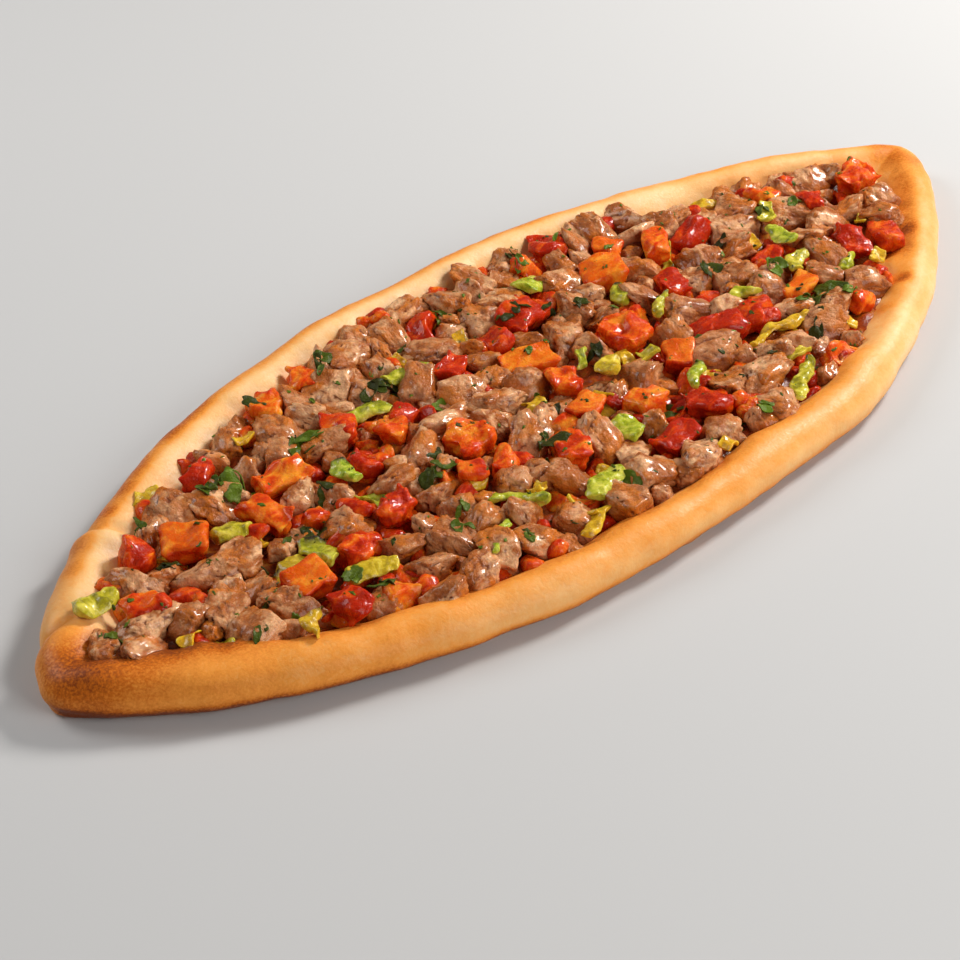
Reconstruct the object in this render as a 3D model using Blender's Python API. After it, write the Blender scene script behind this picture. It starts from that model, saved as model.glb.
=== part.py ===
"""Open boat-shaped flatbread (pide): a baked dough boat with a rolled rim, filled with a
bed of diced lamb, and with chunks of tomato and pieces of green pepper set into the bed.

Frame: metres, +Z up, X along the length from nose to nose, origin under the middle of the
bread on the surface it rests on. One mesh object is one solid. Neighbours keep GAP apart.
"""

import math
import random

import bmesh
import bpy
import numpy as np
from mathutils import Matrix, Vector, noise
from mathutils.bvhtree import BVHTree

MM = 0.001

# ---------------------------------------------------------------- driving dimensions
LENGTH = 0.500          # nose to nose over the crust
RIM_WIDTH = 0.0195      # rolled rim, across
RIM_HEIGHT = 0.0165     # crest of the rim above the table
FLOOR = 0.0050          # dough under the filling
INNER_SLOPE = 0.0175    # from the crest in to the foot of the rim, along the sides
NOSE_SLOPE = 0.0300     # the same at the noses, where the two sides meet
NEAR_SIDE = 0.0889      # rim centreline to the long axis, on the -Y side
FAR_SIDE = 0.0863       # the same on the +Y side
NOSE_FULLNESS = {"left": 2.54, "right": 2.22}   # higher is blunter
NOSE_POINT = 0.905      # 1 is straight-sided, lower is rounder
NOSE_DRIFT = {"left": -0.0046, "right": 0.0116}  # each nose is pulled off the axis
FOOT_CUT = 0.58         # over 0.5 flattens the rim where it rests
BED_HEIGHT = 0.0142     # mean top of the lamb bed above the table
BED_DOME = 0.0018       # how much higher the bed is along its middle
BED_RELIEF = 0.0026     # how far the bed's lumps rise and fall
BED_LUMP = 0.0145       # size of one dice of lamb
BED_REACH = 0.62        # how far up the rim's inner slope the bed comes, as a share
TOMATO_HEIGHT = 0.0090  # a chunk of tomato, from skin to core
TOMATO_SINK = 0.0068    # how deep a chunk of tomato sits in the bed
PEPPER_WALL = 0.0032    # the flesh of a green pepper
PEPPER_SINK = 0.0020    # how deep a piece of pepper sits in the bed
SINK_MARGIN = 0.0055    # the hollow in the bed is this much wider than what lies in it
GAP = 0.0003            # between neighbouring solids

STATIONS = 108          # around the rim, the same number on each long side
EVENNESS = 0.16         # draws the stations together along the sides, apart at the noses
BED_RINGS = 12          # from the bed's edge to its middle
PEPPER_STEPS = 4        # along the bend of a piece of pepper
HALF = LENGTH / 2 - RIM_WIDTH / 2
SPINE_SHARE = 0.86      # the floor closes on a line this share of the rim's length

# Where the baker's hands left the rim fuller or pinched: side (-1 near, +1 far), place
# along X, reach along X, outward shift, extra width and extra height.
RIM_SWELLS = [
    (-1, -0.200, 0.018, 0.0012, 0.0022, 0.0006),
    (-1, -0.155, 0.026, -0.0014, 0.0005, 0.0000),
    (-1, -0.085, 0.030, 0.0006, -0.0020, -0.0006),
    (-1, 0.010, 0.035, -0.0010, 0.0012, 0.0006),
    (-1, 0.072, 0.030, 0.0022, 0.0010, 0.0004),
    (-1, 0.155, 0.030, 0.0010, 0.0000, 0.0000),
    (1, -0.205, 0.024, 0.0024, 0.0006, 0.0004),
    (1, -0.150, 0.034, 0.0010, -0.0010, -0.0005),
    (1, -0.040, 0.022, 0.0012, 0.0010, 0.0006),
    (1, 0.055, 0.024, 0.0016, 0.0004, 0.0000),
    (1, 0.138, 0.034, -0.0016, 0.0006, 0.0002),
    (1, 0.195, 0.026, -0.0006, 0.0012, 0.0004),
]

# Where the filling stops short and the dough inside the rim stays bare: side, place along
# X, reach along X, and the share of the rim's inner slope that it leaves out.
BARE_DOUGH = [
    (1, 0.165, 0.050, 0.42),
    (1, -0.205, 0.028, 0.22),
    (-1, 0.185, 0.030, 0.25),
]

# Chunks of tomato: place, heading in degrees, length and width, in millimetres.
TOMATOES = [
    (-172, 18, -35, 17, 15), (-142, 11, 100, 20, 12), (-203, 1, -20, 14, 9),
    (-142, 47, 15, 17, 8), (-124, 24, -15, 21, 11), (-96, 62, 45, 15, 11),
    (-88, 31, 60, 17, 12), (-158, -27, -10, 16, 15), (-158, -47, 95, 15, 11),
    (-109, -20, 20, 17, 9), (-74, 66, 50, 15, 10), (-31, 30, 30, 18, 10),
    (15, 37, 10, 22, 16), (65, 66, 60, 18, 15), (64, 36, -30, 17, 16),
    (81, 49, 30, 14, 12), (-76, 17, 30, 16, 11), (-7, 13, -20, 21, 12),
    (34, -1, 0, 19, 17), (76, 9, 55, 20, 13), (-9, -8, 50, 14, 11),
    (-62, -7, 0, 16, 15), (-18, -26, 15, 17, 11), (34, -27, 40, 17, 12),
    (60, -25, -25, 24, 13), (-42, -39, 60, 18, 11), (-9, -60, 0, 18, 11),
    (17, -55, -35, 17, 13), (95, 34, 45, 20, 9), (171, 11, 50, 18, 9),
    (203, 9, 15, 24, 14), (157, -20, 60, 18, 13), (108, -30, 20, 20, 11),
]

# Pieces of green pepper: place, heading, length, width, and how far the piece bends in
# degrees.
PEPPERS = [
    (-215, 11, 10, 15, 10, 20), (-156, 13, -30, 14, 10, 30), (-144, -18, 80, 18, 10, 25),
    (-140, -38, -15, 17, 8, 50), (-174, -43, 35, 13, 5, 110), (-108, 8, 75, 14, 9, 30),
    (-99, -56, 25, 20, 5, 40), (-72, 34, -35, 18, 8, 60), (-46, 39, -20, 20, 9, 30),
    (35, 51, 25, 15, 12, 15), (54, 18, 60, 13, 8, 40), (55, 0, 30, 16, 5, 40),
    (8, -15, 50, 15, 11, 20), (-76, -46, -55, 22, 5, 70), (-16, -44, 60, 16, 11, 20),
    (25, -41, 25, 14, 5, 60), (77, -42, -5, 34, 6, 20), (-49, -61, 20, 21, 9, 25),
    (-70, -74, 15, 15, 7, 20), (54, -70, 25, 28, 7, 30), (89, -14, -20, 17, 5, 100),
    (135, 0, 60, 18, 10, 30), (123, -16, 25, 19, 8, 60), (139, -30, 20, 15, 5, 30),
]


def clear_scene():
    for obj in list(bpy.data.objects):
        bpy.data.objects.remove(obj, do_unlink=True)


def material(name, colour, roughness):
    made = bpy.data.materials.new(name)
    made.use_nodes = True
    shader = made.node_tree.nodes["Principled BSDF"]
    shader.inputs["Base Color"].default_value = (*colour, 1.0)
    shader.inputs["Roughness"].default_value = roughness
    shader.inputs["Metallic"].default_value = 0.0
    return made


def face_outwards(bm):
    bmesh.ops.recalc_face_normals(bm, faces=bm.faces)
    if bm.calc_volume(signed=True) < 0:
        bmesh.ops.reverse_faces(bm, faces=bm.faces)


def make_object(bm, name, look, smooth_angle):
    """Turns a bmesh into a named object with its material. The bmesh is left for what is
    laid on it."""
    mesh = bpy.data.meshes.new(name)
    bm.to_mesh(mesh)
    mesh.shade_smooth()
    mesh.set_sharp_from_angle(angle=math.radians(smooth_angle))
    mesh.materials.append(look)
    obj = bpy.data.objects.new(name, mesh)
    bpy.context.scene.collection.objects.link(obj)


# ---------------------------------------------------------------- the rim's line
def bumps(table, x, side, column):
    """The sum at one place on one side of a table's rounded bumps, read from a column."""
    total = 0.0
    for entry in table:
        if entry[0] == side:
            total += entry[column] * math.exp(-(((x - entry[1]) / entry[2]) ** 2))
    return total


def oval(inset):
    """A closed line round the boat in plan: a pointed oval with its noses rounded off.
    Inset 0 is the rim's centreline, and inset 1 is the foot of its inner slope."""
    half = HALF - NOSE_SLOPE * inset
    points = []
    for i in range(STATIONS):
        turn = 2 * math.pi * i / STATIONS
        angle = turn + EVENNESS * math.sin(2 * turn)
        along = math.cos(angle)
        nose = "right" if along > 0 else "left"
        side = 1 if math.sin(angle) > 0 else -1
        half_width = (FAR_SIDE if side > 0 else NEAR_SIDE) - INNER_SLOPE * inset
        across = max(0.0, 1 - abs(along) ** NOSE_FULLNESS[nose]) ** NOSE_POINT
        drift = NOSE_DRIFT[nose] * along * along
        x = half * along
        shift = bumps(RIM_SWELLS, x, side, 3) * min(1.0, 3 * across)
        points.append((x, side * (half_width * across + shift) + drift))
    line = np.array(points)
    for _ in range(2):
        line = (np.roll(line, 1, 0) + 2 * line + np.roll(line, -1, 0)) / 4
    line[:, 0] *= half / line[:, 0].max()
    return line


def outward(line):
    """Unit normals that point away from the filling."""
    step = np.roll(line, -1, 0) - np.roll(line, 1, 0)
    step /= np.linalg.norm(step, axis=1)[:, None]
    return np.stack([step[:, 1], -step[:, 0]], axis=1)


def along_rim(table, column):
    """A table's bumps at each station of the rim, faded out at the noses."""
    values = [bumps(table, x, side, column) for x, side in zip(LINE[:, 0], SIDE)]
    fade = np.clip((1 - np.abs(LINE[:, 0]) / HALF) * 6, 0, 1)
    return np.array(values) * fade


LINE = oval(0.0)
FOOT = oval(1.0)
CENTRE = (LINE[:, 1].max() + LINE[:, 1].min()) / 2
LINE[:, 1] -= CENTRE
FOOT[:, 1] -= CENTRE
NORMAL = outward(LINE)
SIDE = np.where(np.arange(STATIONS) < STATIONS / 2, 1, -1)
EXTRA_WIDTH = along_rim(RIM_SWELLS, 4)
EXTRA_HEIGHT = along_rim(RIM_SWELLS, 5)
BARE = along_rim(BARE_DOUGH, 3)
SPINE_ENDS = [NOSE_DRIFT["left"], 0, NOSE_DRIFT["right"]]
SPINE_BEND = np.interp(LINE[:, 0], [-HALF, 0, HALF], SPINE_ENDS) - CENTRE
SPINE = np.stack([LINE[:, 0] * SPINE_SHARE, SPINE_BEND], axis=1)


def ring(height, out=0.0, inset=0.0, towards_spine=0.0):
    """One closed line of points around the boat, at a height: out from the rim's
    centreline, or inset down its inner slope, and drawn in towards the spine."""
    flat = LINE + NORMAL * np.asarray(out).reshape(-1, 1)
    inset = np.asarray(inset).reshape(-1, 1)
    flat = flat * (1 - inset) + FOOT * inset
    flat = flat * (1 - towards_spine) + SPINE * towards_spine
    level = np.broadcast_to(height, STATIONS)
    return np.column_stack([flat, level])


def loft(rings):
    """Joins closed rings of points, in order, into a skin. A ring on the spine closes on
    itself when its doubles are merged."""
    bm = bmesh.new()
    loops = []
    for points in rings:
        verts = [bm.verts.new(p) for p in points]
        loops.append([bm.edges.new((verts[i - 1], verts[i])) for i in range(len(verts))])
    for lower, upper in zip(loops, loops[1:]):
        bmesh.ops.bridge_loops(bm, edges=lower + upper)
    bmesh.ops.remove_doubles(bm, verts=bm.verts, dist=0.01 * MM)
    bmesh.ops.dissolve_degenerate(bm, edges=bm.edges, dist=0.001 * MM)
    face_outwards(bm)
    return bm


# ---------------------------------------------------------------- the dough boat
def outer_ring(angle):
    """A ring on the rim's outer face. The angle runs from its foot to its crest at 90
    degrees."""
    turn = math.radians(angle)
    out = (RIM_WIDTH + EXTRA_WIDTH) / 2 * math.cos(turn)
    rise = max(0.0, 0.5 + FOOT_CUT * math.sin(turn)) / (0.5 + FOOT_CUT)
    return ring((RIM_HEIGHT + EXTRA_HEIGHT) * rise, out=out)


def slope_height(inset):
    """Height of the rim's inner slope, from its crest at 0 to its foot at 1."""
    fall = 0.5 * (1 + np.cos(math.pi * np.minimum(1, inset)))
    return FLOOR + (RIM_HEIGHT + EXTRA_HEIGHT - FLOOR) * fall


def crust():
    foot_angle = -math.degrees(math.asin(0.5 / FOOT_CUT))
    rings = [ring(0.0, inset=1.0, towards_spine=share) for share in (1.0, 0.5)]
    rings += [outer_ring(angle) for angle in (foot_angle, -30, -4, 24, 56, 90)]
    rings += [ring(slope_height(inset), inset=inset) for inset in (0.25, 0.5, 0.75, 1.0)]
    rings += [ring(FLOOR, inset=1.0, towards_spine=share) for share in (0.5, 1.0)]
    return loft(rings)


# ---------------------------------------------------------------- the bed of lamb dice
def lumps(x, y):
    """Relief of the packed dice, from -1 to 1."""
    place = Vector((x, y, 0.0)) * (0.9 / BED_LUMP) + Vector((7.3, 2.1, 0.4))
    return max(-1.0, min(1.0, 1.9 * noise.noise(place)))


def hollow(x, y):
    """How deep the bed is pressed in at a place by the tomato and pepper that lie in it."""
    depth = 0.0
    for table, sink in ((TOMATOES, TOMATO_SINK), (PEPPERS, PEPPER_SINK)):
        for row in table:
            across = Vector((x - row[0] * MM, y - row[1] * MM))
            across.rotate(Matrix.Rotation(math.radians(-row[2]), 2))
            reach_x = row[3] * MM / 2 + SINK_MARGIN
            reach_y = row[4] * MM / 2 + SINK_MARGIN
            share = max(abs(across.x) / reach_x, abs(across.y) / reach_y)
            depth = max(depth, sink * min(1.0, max(0.0, 3.2 - 3 * share)))
    return depth


def bed_top(edge, towards_spine):
    """A ring of the bed's upper face: domed a little across, lumpy, and pressed in under
    the larger toppings."""
    points = ring(0.0, inset=edge, towards_spine=towards_spine)
    dome = BED_DOME * math.sin(0.5 * math.pi * towards_spine)
    for point in points:
        pressed = hollow(point[0], point[1])
        relief = BED_RELIEF * lumps(point[0], point[1]) * (1 - 0.7 * pressed / TOMATO_SINK)
        point[2] = BED_HEIGHT + dome + relief - pressed
    return points


def bed():
    """The packed dice as one solid, from the dough's floor to their uneven tops. Its
    flank follows the rim's inner slope, a gap away from it."""
    aside = 2.5 * GAP / INNER_SLOPE
    edge = 1 - BED_REACH + BARE * BED_REACH
    rings = [ring(FLOOR + GAP, inset=1.0, towards_spine=share) for share in (1.0, 0.5)]
    for climb in (0.0, 0.35, 0.65, 0.95):
        inset = 1 + (edge - 1) * climb
        rings.append(ring(slope_height(inset) + GAP, inset=inset + aside))
    rings += [bed_top(edge, 0.02 + 0.98 * i / BED_RINGS) for i in range(BED_RINGS + 1)]
    return loft(rings)


# ---------------------------------------------------------------- tomato and pepper
def tomato_chunk(length, width, height, dice):
    """A knife-cut chunk: a block with uneven corners and a narrow bevel."""
    bm = bmesh.new()
    bmesh.ops.create_cube(bm, size=1.0)
    bmesh.ops.scale(bm, vec=(length, width, height), verts=bm.verts)
    for vert in bm.verts:
        pull = 1.0 if vert.co.z > 0 else 0.7
        vert.co.x *= pull * dice.uniform(0.86, 1.06)
        vert.co.y *= pull * dice.uniform(0.86, 1.06)
        vert.co.z *= dice.uniform(0.80, 1.05)
    bmesh.ops.bevel(
        bm, geom=bm.edges[:], offset=0.16 * height, offset_type="OFFSET", affect="EDGES",
        segments=1, profile=0.5, material=-1,
    )
    return bm


def pepper_piece(length, width, bend, dice):
    """A cut piece of pepper wall: a flat six-sided section swept round the pepper's curve
    and narrowed at its ends."""
    bm = bmesh.new()
    section = bmesh.ops.create_circle(bm, segments=6, radius=0.5, cap_ends=True)["verts"]
    bmesh.ops.rotate(bm, verts=section, cent=(0, 0, 0), matrix=Matrix.Rotation(math.pi / 2, 3, "Y"))
    bmesh.ops.scale(bm, vec=(1, width, PEPPER_WALL * 1.15), verts=section)
    turn = math.radians(bend)
    radius = length / turn
    centre = Vector((0, -radius, 0))
    start = Matrix.Rotation(turn / 2, 3, "Z")
    bmesh.ops.rotate(bm, verts=section, cent=centre, matrix=start)
    bmesh.ops.spin(
        bm, geom=bm.verts[:] + bm.edges[:] + bm.faces[:], cent=centre, axis=(0, 0, -1),
        angle=turn, steps=PEPPER_STEPS, use_merge=False, use_duplicate=False,
    )
    tip_bend = dice.uniform(0.0005, 0.0015)
    for vert in bm.verts:
        end = min(1.0, abs(vert.co.x) / (0.5 * length))
        middle = -radius + math.sqrt(max(0.0, radius**2 - vert.co.x**2))
        vert.co.y = middle + (vert.co.y - middle) * (1 - 0.45 * end**3)
        vert.co.z += tip_bend * end**2
    return bm


def touch_points(bm):
    """Where a solid could first touch another: its corners, places along its edges, and
    the middles of its faces."""
    points = [vert.co.copy() for vert in bm.verts]
    for edge in bm.edges:
        points += [edge.verts[0].co.lerp(edge.verts[1].co, share) for share in (0.25, 0.5, 0.75)]
    points += [face.calc_center_median() for face in bm.faces]
    return points


def settle(piece, below, x, y, heading, lean):
    """Turns a piece, stands it over its place and lowers it until it lies a gap above
    what is already there."""
    tilt = Matrix.Rotation(lean, 3, (math.cos(3 * heading), math.sin(3 * heading), 0))
    turn = tilt @ Matrix.Rotation(heading, 3, "Z")
    bmesh.ops.rotate(piece, verts=piece.verts, cent=(0, 0, 0), matrix=turn)
    bmesh.ops.translate(piece, verts=piece.verts, vec=(x, y, 4 * RIM_HEIGHT))
    face_outwards(piece)
    down = Vector((0, 0, -1))
    drop = 4 * RIM_HEIGHT
    reach = max((vert.co.xy - Vector((x, y))).length for vert in piece.verts)
    tree = BVHTree.FromBMesh(piece)
    for points, surface in below:
        hits = [surface.ray_cast(point, down) for point in touch_points(piece)]
        near = [point for point in points if (point.xy - Vector((x, y))).length < reach]
        hits += [tree.ray_cast(point, -down) for point in near]
        drop = min([drop] + [hit[3] for hit in hits if hit[0] is not None])
    bmesh.ops.translate(piece, verts=piece.verts, vec=(0, 0, 2 * GAP - drop))
    below.append((touch_points(piece), BVHTree.FromBMesh(piece)))


def lay_toppings(below, tomato_look, pepper_look):
    dice = random.Random(20)
    for number, (x, y, heading, length, width) in enumerate(TOMATOES, start=1):
        height = TOMATO_HEIGHT * dice.uniform(0.85, 1.1)
        chunk = tomato_chunk(length * MM, width * MM, height, dice)
        lean = math.radians(dice.uniform(0, 9))
        settle(chunk, below, x * MM, y * MM, math.radians(heading), lean)
        make_object(chunk, f"tomato_{number:02d}", tomato_look, 30.0)
    for number, (x, y, heading, length, width, bend) in enumerate(PEPPERS, start=1):
        piece = pepper_piece(length * MM, width * MM, bend, dice)
        lean = math.radians(dice.uniform(0, 8))
        settle(piece, below, x * MM, y * MM, math.radians(heading), lean)
        make_object(piece, f"pepper_{number:02d}", pepper_look, 40.0)


def main():
    clear_scene()
    dough = material("baked_dough", (0.78, 0.45, 0.19), 0.55)
    lamb = material("lamb", (0.33, 0.17, 0.11), 0.45)
    tomato = material("tomato", (0.60, 0.06, 0.02), 0.25)
    pepper = material("green_pepper", (0.36, 0.45, 0.05), 0.30)
    below = []
    for name, solid, look in (("crust", crust(), dough), ("lamb_bed", bed(), lamb)):
        make_object(solid, name, look, 40.0)
        below.append((touch_points(solid), BVHTree.FromBMesh(solid)))
    lay_toppings(below, tomato, pepper)


main()
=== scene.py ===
"""An open boat-shaped flatbread (pide): a baked dough boat, packed with diced lamb, tomato,
green pepper and parsley. The sections follow it as a cook puts it together."""

import math
import random

import bmesh
import bpy
from mathutils import Matrix, Vector, noise
from mathutils.bvhtree import BVHTree
from mathutils.kdtree import KDTree


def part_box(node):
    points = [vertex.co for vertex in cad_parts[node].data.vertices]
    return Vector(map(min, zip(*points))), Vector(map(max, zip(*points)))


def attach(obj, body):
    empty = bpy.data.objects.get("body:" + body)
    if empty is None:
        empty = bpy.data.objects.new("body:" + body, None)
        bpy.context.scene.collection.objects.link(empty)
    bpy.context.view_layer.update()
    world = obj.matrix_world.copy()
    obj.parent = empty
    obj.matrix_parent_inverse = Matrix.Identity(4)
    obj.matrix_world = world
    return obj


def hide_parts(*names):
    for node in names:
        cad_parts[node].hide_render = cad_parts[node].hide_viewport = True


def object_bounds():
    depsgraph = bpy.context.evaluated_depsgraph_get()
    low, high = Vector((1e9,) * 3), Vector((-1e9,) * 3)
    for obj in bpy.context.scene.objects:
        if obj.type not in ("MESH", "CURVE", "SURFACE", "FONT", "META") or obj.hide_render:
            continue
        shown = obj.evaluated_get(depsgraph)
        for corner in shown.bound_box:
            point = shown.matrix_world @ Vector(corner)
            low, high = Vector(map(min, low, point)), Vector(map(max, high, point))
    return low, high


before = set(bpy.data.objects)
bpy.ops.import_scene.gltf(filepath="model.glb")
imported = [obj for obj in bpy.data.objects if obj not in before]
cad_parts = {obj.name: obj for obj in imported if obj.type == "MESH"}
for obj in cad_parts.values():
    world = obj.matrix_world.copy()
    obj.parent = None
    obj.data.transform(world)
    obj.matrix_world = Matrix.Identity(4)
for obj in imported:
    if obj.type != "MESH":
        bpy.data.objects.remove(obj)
cad_low, cad_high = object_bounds()
MM = 0.001


# ---------------------------------------------------------------- the dough boat
# Yeast dough rolled out, its edge folded over and pinched to a point at both ends. It is baked
# in one piece on a stone: browned along the crest and at the left nose, pale inside the far rim.
DOUGH_LEVELS = 2
DOUGH_SWELL = 0.0011
DOUGH_DIMPLE = 0.00045
SOAK = 0.22
NOSE_FOLD_RISE = 1.5 * MM
FAR_FOLD_RISE = 1.3 * MM
NOSE_TRIM = 1.8 * MM
LIP_LIFT = 0.32
FLOURY_DOUGH = (0.88, 0.62, 0.34, 1)
PALE_DOUGH = (0.86, 0.49, 0.185, 1)
GOLDEN_DOUGH = (0.83, 0.305, 0.045, 1)
BROWN_DOUGH = (0.56, 0.135, 0.008, 1)
DARK_DOUGH = (0.22, 0.042, 0.004, 1)


def smooth_step(start, end, value):
    """0 before start and 1 past end, with an even rise between them. Start may be the higher."""
    share = min(1, max(0, (value - start) / (end - start)))
    return share * share * (3 - 2 * share)


def bell(distance, width):
    return math.exp(-((distance / width) ** 2))


def solid_of(node):
    """A CAD node's solid as a closed mesh of its own, its triangles joined in pairs."""
    shape = bmesh.new()
    shape.from_mesh(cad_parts[node].data)
    bmesh.ops.remove_doubles(shape, verts=shape.verts, dist=1e-6)
    bmesh.ops.join_triangles(
        shape,
        faces=shape.faces,
        angle_face_threshold=math.radians(40),
        angle_shape_threshold=math.radians(50),
    )
    return shape


def subdivided(shape, levels, hold=0.0):
    """The same shape with its faces split and smoothed, its edges held that much."""
    held = shape.edges.layers.float.new("crease_edge")
    for edge in shape.edges:
        edge[held] = hold
    mesh = bpy.data.meshes.new("work")
    shape.to_mesh(mesh)
    shape.free()
    worked = bpy.data.objects.new("work", mesh)
    bpy.context.collection.objects.link(worked)
    modifier = worked.modifiers.new("subdivide", "SUBSURF")
    modifier.levels = levels
    modifier.render_levels = levels
    finer = worked.evaluated_get(bpy.context.evaluated_depsgraph_get()).to_mesh()
    result = bmesh.new()
    result.from_mesh(finer)
    bpy.data.objects.remove(worked)
    bpy.data.meshes.remove(mesh)
    result.normal_update()
    return result


def lumps(place, size, seed=0.0):
    """Smooth unevenness between about -1 and 1, its lumps about size across."""
    return noise.noise(place / size + Vector((seed, seed * 1.7, seed * 0.6)))


def add_piece(name, shape, material, slot, *nodes):
    """Makes a finished shape a piece of the flatbread, smooth shaded, in place of its nodes."""
    mesh = bpy.data.meshes.new(name)
    shape.to_mesh(mesh)
    mesh.polygons.foreach_set("use_smooth", [True] * len(mesh.polygons))
    mesh.materials.append(material)
    made = bpy.data.objects.new(name, mesh)
    bpy.context.collection.objects.link(made)
    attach(made, "root")
    if nodes:
        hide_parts(*nodes)


class Nodes:
    """A node tree whose nodes are laid and wired by short calls."""

    def __init__(self, tree):
        self.tree = tree

    def node(self, kind, **settings):
        made = self.tree.nodes.new(kind)
        for name, value in settings.items():
            setattr(made, name, value)
        return made

    def wire(self, source, target):
        self.tree.links.new(source, target)

    def feed(self, target, value):
        if isinstance(value, bpy.types.NodeSocket):
            self.wire(value, target)
        else:
            target.default_value = value

    def attribute(self, name, output="Fac"):
        return self.node("ShaderNodeAttribute", attribute_name=name).outputs[output]

    def place(self):
        return self.node("ShaderNodeTexCoord").outputs["Object"]

    def scaled(self, place, scale):
        mapping = self.node("ShaderNodeMapping")
        self.wire(place, mapping.inputs["Vector"])
        mapping.inputs["Scale"].default_value = scale
        return mapping.outputs["Vector"]

    def clouds(self, place, scale, detail, roughness, distortion=0.0):
        """Noise, its lumps 1 / scale metres across."""
        made = self.node("ShaderNodeTexNoise")
        self.wire(place, made.inputs["Vector"])
        self.feed(made.inputs["Scale"], scale)
        made.inputs["Detail"].default_value = detail
        made.inputs["Roughness"].default_value = roughness
        made.inputs["Distortion"].default_value = distortion
        return made.outputs["Fac"]

    def bundles(self, place, scale):
        """Softly rounded cells 1 / scale metres across, high along their edges."""
        made = self.node("ShaderNodeTexVoronoi", feature="SMOOTH_F1")
        self.wire(place, made.inputs["Vector"])
        made.inputs["Scale"].default_value = scale
        made.inputs["Smoothness"].default_value = 0.6
        return made.outputs["Distance"]

    def cooked(self, place, under=None, **values):
        """The shared cooked surface, its inputs named with _ for a space. Returns its outputs."""
        made = self.node("ShaderNodeGroup", node_tree=cooked_surface)
        self.wire(place, made.inputs["Place"])
        for name, value in values.items():
            self.feed(made.inputs[name.replace("_", " ")], value)
        if under is None:
            under = self.node("ShaderNodeNewGeometry").outputs["Normal"]
        self.wire(under, made.inputs["Normal"])
        return made.outputs

    def band(self, value, low, high, start=0.0, end=1.0):
        """Value rescaled so that low gives start and high gives end, and no further."""
        made = self.node("ShaderNodeMapRange", clamp=True)
        self.feed(made.inputs["Value"], value)
        self.feed(made.inputs["From Min"], low)
        self.feed(made.inputs["From Max"], high)
        self.feed(made.inputs["To Min"], start)
        self.feed(made.inputs["To Max"], end)
        return made.outputs["Result"]

    def combined(self, operation, first, second):
        made = self.node("ShaderNodeMath", operation=operation)
        self.feed(made.inputs[0], first)
        self.feed(made.inputs[1], second)
        return made.outputs["Value"]

    def sum(self, first, second):
        return self.combined("ADD", first, second)

    def times(self, first, second):
        return self.combined("MULTIPLY", first, second)

    def mix(self, share, first, second):
        """The first colour, or the second where the share is 1."""
        made = self.node("ShaderNodeMix", data_type="RGBA")
        self.feed(made.inputs["Factor"], share)
        self.feed(made.inputs["A"], first)
        self.feed(made.inputs["B"], second)
        return made.outputs["Result"]

    def ramp(self, value, stops):
        """A colour that goes through the stops, each a position and a colour."""
        made = self.node("ShaderNodeValToRGB")
        self.wire(value, made.inputs["Fac"])
        elements = made.color_ramp.elements
        while len(elements) < len(stops):
            elements.new(1.0)
        for element, (position, colour) in zip(elements, stops):
            element.position = position
            element.color = colour
        return made.outputs["Color"]

    def bump(self, height, distance, under=None):
        """The surface normal over relief that distance deep, on top of the one under it."""
        made = self.node("ShaderNodeBump")
        self.feed(made.inputs["Distance"], distance)
        self.wire(height, made.inputs["Height"])
        if under is not None:
            self.wire(under, made.inputs["Normal"])
        return made.outputs["Normal"]


class Finish(Nodes):
    """A material of a principled shader, and the nodes that feed it."""

    def __init__(self, name):
        self.material = bpy.data.materials.new(name)
        self.material.use_nodes = True
        super().__init__(self.material.node_tree)
        self.shader = self.tree.nodes["Principled BSDF"]

    def dress(self, **inputs):
        """Feeds the shader's sockets, each named as on the shader with _ for a space."""
        for name, value in inputs.items():
            self.feed(self.shader.inputs[name.replace("_", " ")], value)


# What roasting does to every surface here: a coarse mottle, a fine grain, and gloss and relief
# that follow the two.
cooked_surface = bpy.data.node_groups.new("cooked surface", "ShaderNodeTree")
for side, kind, names in (
    ("INPUT", "NodeSocketVector", ("Place", "Normal")),
    ("INPUT", "NodeSocketFloat", ("Coarse Scale", "Coarse Depth", "Fine Scale", "Fine Depth")),
    ("INPUT", "NodeSocketFloat", ("Glossiest", "Dullest")),
    ("OUTPUT", "NodeSocketFloat", ("Mottle", "Grain", "Roughness")),
    ("OUTPUT", "NodeSocketVector", ("Normal",)),
):
    for name in names:
        cooked_surface.interface.new_socket(name, in_out=side, socket_type=kind)
surface = Nodes(cooked_surface)
given = surface.node("NodeGroupInput").outputs
result = surface.node("NodeGroupOutput").inputs
mottle = surface.clouds(given["Place"], given["Coarse Scale"], 4.0, 0.62, 0.4)
grain = surface.clouds(given["Place"], given["Fine Scale"], 3.0, 0.60)
gloss = surface.band(grain, 0.32, 0.68, given["Glossiest"], given["Dullest"])
coarse = surface.bump(mottle, given["Coarse Depth"], given["Normal"])
fine = surface.bump(grain, given["Fine Depth"], coarse)
surface.wire(mottle, result["Mottle"])
surface.wire(grain, result["Grain"])
surface.wire(gloss, result["Roughness"])
surface.wire(fine, result["Normal"])


def crease(place, start, end, width):
    """How a fold that runs from start to end in plan raises one side and sinks the other.

    Returns the rise between -1 and 1, how deep in the fold, and the distance from its line."""
    line = end - start
    spot = Vector((place.x, place.y)) / MM - start
    share = spot.dot(line) / line.length_squared
    away = line.cross(spot) / line.length
    fade = smooth_step(-0.35, 0.05, share) * smooth_step(1.35, 0.95, share)
    deep = bell(away - 0.25 * width, 0.40 * width) * fade
    return bell(away + 0.9 * width, width) * fade - 1.4 * deep, deep, away


NOSE_FOLD = (Vector((-241, 13)), Vector((-218, 14)))
FAR_FOLD = (Vector((-197, 59)), Vector((-181, 41)))
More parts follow.
